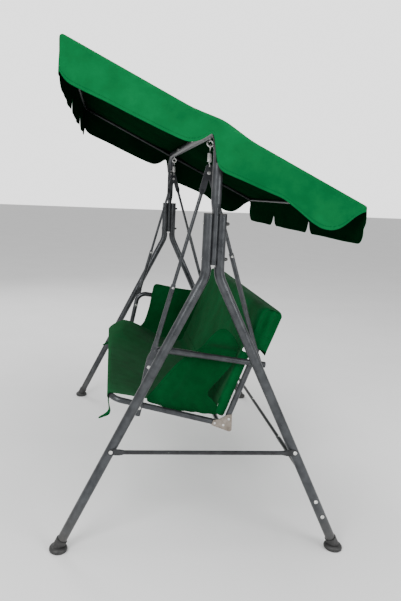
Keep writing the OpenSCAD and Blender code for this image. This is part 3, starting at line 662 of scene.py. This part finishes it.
def back_cover():
    section = back_section()
    run = [0.0]
    for a, b in zip(section, section[1:]):
        run.append(run[-1] + math.dist(a, b))
    fx = spread(0.0, 1.0, BACK_CELL)
    fx = [-f for f in reversed(fx) if f > 0] + fx
    verts, info, faces = [], [], []
    crest = max(range(len(section)), key=lambda k: section[k][1])
    for j, (out, up) in enumerate(section):
        flare = ease((up - HOOD_LOW + 0.004) / 0.022) if j < crest else 1
        half = BACK_HALF + (HOOD_HALF - BACK_HALF) * flare
        for f in fx:
            x = half * f
            side = abs(f)
            lift = math.sin(math.pi * min(max((up - 0.03) / (BACK_H - 0.03), 0), 1))
            sag = BACK_SAG * lift * (1 - side ** 4) if j < crest else 0.0
            wave = ripple(x, run[j], 5.2, 6, 0.009) * lift
            wave += 0.0012 * math.sin(x * 2 * math.pi / 0.31 + up * 9) * lift * (1 - side ** 6)
            roll = 0.010 * ease((side - 0.975) / 0.025)
            push = (sag + wave) * (1 if j < crest else -0.5)
            inward = roll if j < crest and up > HOOD_LOW + 0.02 else (-roll if j >= crest else 0.0)
            corner_drop = 0.004 * ease((side - 0.96) / 0.04) if j in OVER_TOP else 0
            verts.append(back_point(out + push + inward * 0.6, up - corner_drop, x))
            hem = min((half - abs(x)) if up < HOOD_LOW else 1.0, run[-1] - run[j] if j > crest else 1.0)
            info.append((x, run[j], hem))
    width = len(fx)
    for j in range(len(section) - 1):
        for i in range(width - 1):
            a = j * width + i
            faces.append((a, a + 1, a + 1 + width, a + width))
    # Below the hood the two side edges turn back to the upright tubes
    for s, column in ((-1, 0), (1, width - 1)):
        previous = None
        # The two lowest rows hang below the front panel and have no point on it
        rows = [(None, -0.018), (None, 0.004)]
        rows += [(j, section[j][1]) for j in range(crest) if section[j][1] < HOOD_LOW - 0.004]
        for j, up in rows:
            if j is None:
                row = [len(verts)]
                verts.append(back_point(FRONT_OUT + 0.002, up, s * BACK_HALF))
                info.append((up, EDGE_RUN, EDGE_DEPTH))
            else:
                row = [j * width + column]
            for k in range(1, 5):
                t = k / 4
                flutter = ripple(up, t, 4.0 + s, 18, 0.006) * t
                row.append(len(verts))
                x = BACK_HALF + 0.0035 * ease(t * 2) + flutter
                verts.append(back_point(FRONT_OUT + EDGE_DEPTH * t, up, s * x))
                info.append((up, EDGE_RUN + EDGE_DEPTH * t, EDGE_DEPTH * (1 - t)))
            if previous:
                for k in range(4):
                    quad = (row[k], row[k + 1], previous[k + 1], previous[k])
                    faces.append(quad if s < 0 else quad[::-1])
            previous = row
    # End gussets close the hood over the back tubes, hollow on both sides of the tube
    front_rows = [j for j in range(crest) if section[j][1] > HOOD_LOW + 0.012]
    across = 9
    for s, column in ((-1, 0), (1, width - 1)):
        previous = None
        for j in front_rows:
            up = section[j][1]
            rear = min((k for k in range(crest + 1, len(section))), key=lambda k: abs(section[k][1] - up))
            if up > section[rear][1] + 0.02:
                continue
            a, b = verts[j * width + column], verts[rear * width + column]
            row = [j * width + column]
            for k in range(1, across):
                t = k / across
                p = a.lerp(b, t)
                out = FRONT_OUT + (REAR_OUT - FRONT_OUT) * t
                over_tube = math.exp(-(out / 0.014) ** 2)
                upper = ease((up - 0.36) / 0.05)
                dent = (0.006 + 0.018 * upper) * math.sin(math.pi * t) * (1 - over_tube)
                seam = 0.004 * math.exp(-((up - SEAM_UP) / 0.007) ** 2) * math.sin(math.pi * t)
                wave = ripple(out, up, 8.0 + s, 28, 0.004) * math.sin(math.pi * t) * (1 - over_tube)
                least = OUTSIDE_TUBE if over_tube > 0.4 else HOLLOW_LIMIT
                p.x = s * max(abs(p.x) - dent - seam + wave, least)
                row.append(len(verts))
                verts.append(p)
                info.append((out, up, abs(up - SEAM_UP) + 0.0035))
            row.append(rear * width + column)
            if previous:
                for k in range(across):
                    quad = [row[k], row[k + 1], previous[k + 1], previous[k]]
                    if s > 0:
                        quad.reverse()
                    unique = list(dict.fromkeys(quad))
                    if len(unique) > 2:
                        faces.append(tuple(unique))
            previous = row
    obj = new_object("back_sleeve", verts, faces, info)
    fabric_piece(obj, "seat", FINISH["seat_fabric"], 0.0018, 1)
    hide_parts("back_cover")


# ---- side wings -------------------------------------------------------------

NEAR_WING = [
    (-0.208, 0.512), (-0.172, 0.572), (-0.112, 0.650), (-0.045, 0.712), (0.020, 0.754), (0.055, 0.802),
    (0.100, 0.833), (0.140, 0.812), (0.176, 0.752), (0.158, 0.688), (0.100, 0.612), (0.052, 0.552),
    (0.074, 0.520), (0.104, 0.480), (0.098, 0.452), (0.030, 0.456), (-0.050, 0.464), (-0.130, 0.482),
]
FAR_WING = [
    (-0.205, 0.512), (-0.156, 0.580), (-0.128, 0.670), (-0.112, 0.765), (-0.096, 0.818), (-0.040, 0.815),
    (0.060, 0.797), (0.190, 0.778), (0.202, 0.750), (0.173, 0.672), (0.142, 0.585), (0.114, 0.508),
    (0.098, 0.452), (0.000, 0.460), (-0.100, 0.484),
]
WING_X = 0.5755
WING_CELL = 0.011
NEAR_LIMIT = 0.6015
FAR_LIMIT = 0.600


def near_place(y, z):
    """Slumped wing: a bulging lobe over the armrest height and one long soft fold below it."""
    lobe = math.exp(-(((y - 0.10) / 0.07) ** 2 + ((z - 0.80) / 0.055) ** 2))
    fold = math.exp(-(((y + 0.055) - (z - 0.64) * 0.45) / 0.022) ** 2) * ease((z - 0.50) / 0.06)
    tuck = math.exp(-(((z - 0.735) - (y - 0.1) * -0.15) / 0.020) ** 2) * ease((y - 0.02) / 0.05)
    belly = math.sin(math.pi * ease((z - 0.47) / 0.30)) * 0.010
    x = WING_X + 0.017 * lobe + 0.014 * fold - 0.020 * tuck + belly + ripple(y, z, 2.0, 14, 0.008)
    x += 0.004 * math.sin((y * 1.4 + z) * 2 * math.pi / 0.07) * ease((0.56 - z) / 0.08)
    return Vector((min(x, NEAR_LIMIT), y, z))


def far_place(y, z):
    x = WING_X + 0.007 * math.sin((y + 0.25 * z) * 2 * math.pi / 0.26) * ease((z - 0.5) / 0.15)
    x += ripple(y, z, 6.0, 12, 0.007)
    return Vector((-min(x, FAR_LIMIT), y, z))


def wings():
    for name, node, outline, place in (
        ("wing_right", "side_panel_right", NEAR_WING, near_place),
        ("wing_left", "side_panel_left", FAR_WING, far_place),
    ):
        obj = outline_sheet(name, outline, WING_CELL, place, "seat", "trim_fabric")
        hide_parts(node)


# ---- tie straps -------------------------------------------------------------

TIE_X = 0.563
TIE_HALF = 0.0065
TIE_LEAF = 0.0085
TIE_LENGTH = 0.12
TIE_LINE = [
    (-0.3695, 0.516), (-0.3700, 0.500), (-0.3660, 0.478), (-0.3640, 0.462),
    (-0.3720, 0.447), (-0.3850, 0.437), (-0.3990, 0.430), (-0.4080, 0.424),
]


def strap(s):
    """Folded tape with a cut leaf-shaped end, hanging from the front corner of the sling."""
    x0 = s * TIE_X
    centre = smooth_line([Vector(p) for p in TIE_LINE], 5, False)
    count = len(centre)
    verts, info, faces = [], [], []
    across = 4
    for k, c in enumerate(centre):
        t = k / (count - 1)
        leaf = TIE_HALF + TIE_LEAF * math.sin(math.pi * ease((t - 0.42) / 0.58)) if t > 0.42 else TIE_HALF
        leaf *= 1 - 0.85 * ease((t - 0.9) / 0.1)
        twist = math.radians(18 + 75 * ease((t - 0.2) / 0.5))
        for i in range(across + 1):
            w = (i / across - 0.5) * 2 * leaf
            bow = 0.0015 * (1 - (w / max(leaf, 1e-4)) ** 2)
            verts.append(Vector((x0 + w * math.cos(twist), c.x + bow + w * math.sin(twist), c.y)))
            info.append((w, t * TIE_LENGTH, leaf - abs(w)))
    for k in range(count - 1):
        for i in range(across):
            a = k * (across + 1) + i
            faces.append((a, a + 1, a + across + 2, a + across + 1))
    return verts, info, faces


def straps():
    verts, info, faces = [], [], []
    for s in (-1, 1):
        v, i, f = strap(s)
        faces += [tuple(len(verts) + k for k in face) for face in f]
        verts += v
        info += i
    obj = new_object("corner_ties", verts, faces, info)
    fabric_piece(obj, "seat", FINISH["trim_fabric"], 0.0022, 1)
    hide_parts("tie_straps")


# ---- springs ----------------------------------------------------------------

WIRE_R = 0.00175
COIL_R = 0.0074
LOOP_R = 0.008
TURNS = 10
PER_TURN = 16
LOOP_STEPS = 20
LOOP_TURN = 330
COIL_LOW = 1.519
COIL_HIGH = 1.552


def spring_points(s):
    low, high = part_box("springs")
    top, bottom = high[2] - WIRE_R - LOOP_R, low[2] + WIRE_R + LOOP_R
    x = s * (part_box("springs")[1][0] - WIRE_R - LOOP_R)
    points = []
    for k in range(LOOP_STEPS + 1):
        a = math.radians(60 - LOOP_TURN * k / LOOP_STEPS)
        points.append(Vector((x + LOOP_R * math.cos(a), 0, bottom + LOOP_R * math.sin(a))))
    points.append(Vector((x + 0.004, 0.001, COIL_LOW - 0.0022)))
    steps = TURNS * PER_TURN
    for k in range(steps + 1):
        a = 2 * math.pi * k / PER_TURN
        points.append(Vector((x + COIL_R * math.cos(a), COIL_R * math.sin(a),
                              COIL_LOW + (COIL_HIGH - COIL_LOW) * k / steps)))
    points.append(Vector((x + 0.003, 0.001, COIL_HIGH + 0.0050)))
    for k in range(LOOP_STEPS + 1):
        a = math.radians(-90 + LOOP_TURN * k / LOOP_STEPS)
        points.append(Vector((x + LOOP_R * math.cos(a), 0, top + LOOP_R * math.sin(a))))
    return points


def springs():
    for name, s in (("spring_right", 1), ("spring_left", -1)):
        curve = bpy.data.curves.new(name, "CURVE")
        curve.dimensions = "3D"
        curve.bevel_depth = WIRE_R
        curve.bevel_resolution = 3
        curve.use_fill_caps = True
        points = spring_points(s)
        spline = curve.splines.new("POLY")
        spline.points.add(len(points) - 1)
        for item, p in zip(spline.points, points):
            item.co = (*p, 1)
        shape = bpy.data.objects.new(name + "_path", curve)
        bpy.context.collection.objects.link(shape)
        depsgraph = bpy.context.evaluated_depsgraph_get()
        mesh = bpy.data.meshes.new_from_object(shape.evaluated_get(depsgraph))
        bpy.data.objects.remove(shape)
        for polygon in mesh.polygons:
            polygon.use_smooth = True
        obj = bpy.data.objects.new(name, mesh)
        bpy.context.collection.objects.link(obj)
        obj.data.materials.clear()
        obj.data.materials.append(FINISH["zinc"])
        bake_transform(obj)
        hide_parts("springs")


# ---- floor, light, camera ---------------------------------------------------


def stage():
    bpy.ops.mesh.primitive_plane_add(size=80)
    floor = bpy.context.object
    floor.name = "floor"
    n = Nodes("floor")
    place = n.add("ShaderNodeTexCoord").outputs["Object"]
    n.link(n.ramp(n.noise(place, 2, 2), [(0.3, (0.86, 0.86, 0.86)), (0.7, (0.89, 0.89, 0.89))]),
           n.shader.inputs["Base Color"])
    n.set(Roughness=0.9)
    floor.data.materials.append(n.material)


def lamp(name, place, target, size, power):
    data = bpy.data.lights.new(name, "AREA")
    data.shape = "DISK"
    data.size = size
    data.energy = power
    obj = bpy.data.objects.new(name, data)
    bpy.context.collection.objects.link(obj)
    obj.location = place
    obj.rotation_mode = "QUATERNION"
    obj.rotation_quaternion = (Vector(target) - Vector(place)).to_track_quat("-Z", "Y")


def lights():
    lamp("key", (4.2, -2.6, 3.2), (0, 0, 1.2), 2.4, 190)
    lamp("fill", (4.0, 3.4, 2.4), (0, 0, 1.2), 2.6, 120)
    lamp("top", (0.5, 0, 5.0), (0, 0, 1.0), 3.0, 110)
    lamp("back", (-4.0, -2.0, 3.2), (0, 0, 1.2), 2.4, 80)
    world = bpy.data.worlds.new("studio")
    bpy.context.scene.world = world
    world.use_nodes = True
    tree = world.node_tree
    tree.nodes.clear()
    out = tree.nodes.new("ShaderNodeOutputWorld")
    seen = tree.nodes.new("ShaderNodeBackground")
    seen.inputs["Strength"].default_value = 2.2
    lit = tree.nodes.new("ShaderNodeBackground")
    lit.inputs["Strength"].default_value = 0.75
    for background in (seen, lit):
        background.inputs["Color"].default_value = (1, 1, 1, 1)
    path = tree.nodes.new("ShaderNodeLightPath")
    mix = tree.nodes.new("ShaderNodeMixShader")
    tree.links.new(path.outputs["Is Camera Ray"], mix.inputs[0])
    tree.links.new(lit.outputs[0], mix.inputs[1])
    tree.links.new(seen.outputs[0], mix.inputs[2])
    tree.links.new(mix.outputs[0], out.inputs["Surface"])


CAMERA_AT = Vector((2.849, -0.381, 1.395))
CAMERA_YAW, CAMERA_DOWN, CAMERA_ROLL = (math.radians(a) for a in (4.32, 6.91, 2.25))
IMAGE_H = 601
FOCAL = 556.6 / IMAGE_H
SHIFT = (48.8 / IMAGE_H, -41.8 / IMAGE_H)


def camera():
    data = bpy.data.cameras.new("camera")
    data.sensor_width = 36
    data.lens = FOCAL * data.sensor_width
    data.shift_x, data.shift_y = SHIFT
    obj = bpy.data.objects.new("camera", data)
    bpy.context.collection.objects.link(obj)
    ahead = Vector((-math.cos(CAMERA_YAW) * math.cos(CAMERA_DOWN),
                    math.sin(CAMERA_YAW) * math.cos(CAMERA_DOWN), -math.sin(CAMERA_DOWN)))
    level = Vector((math.sin(CAMERA_YAW), math.cos(CAMERA_YAW), 0))
    above = level.cross(ahead)
    right = level * math.cos(CAMERA_ROLL) + above * math.sin(CAMERA_ROLL)
    up = above * math.cos(CAMERA_ROLL) - level * math.sin(CAMERA_ROLL)
    turned = Matrix((right, up, -ahead)).transposed().to_4x4()
    obj.matrix_world = Matrix.Translation(CAMERA_AT) @ turned
    bpy.context.scene.camera = obj


camera()
canopy()
seat()
back_cover()
wings()
straps()
springs()
stage()
lights()
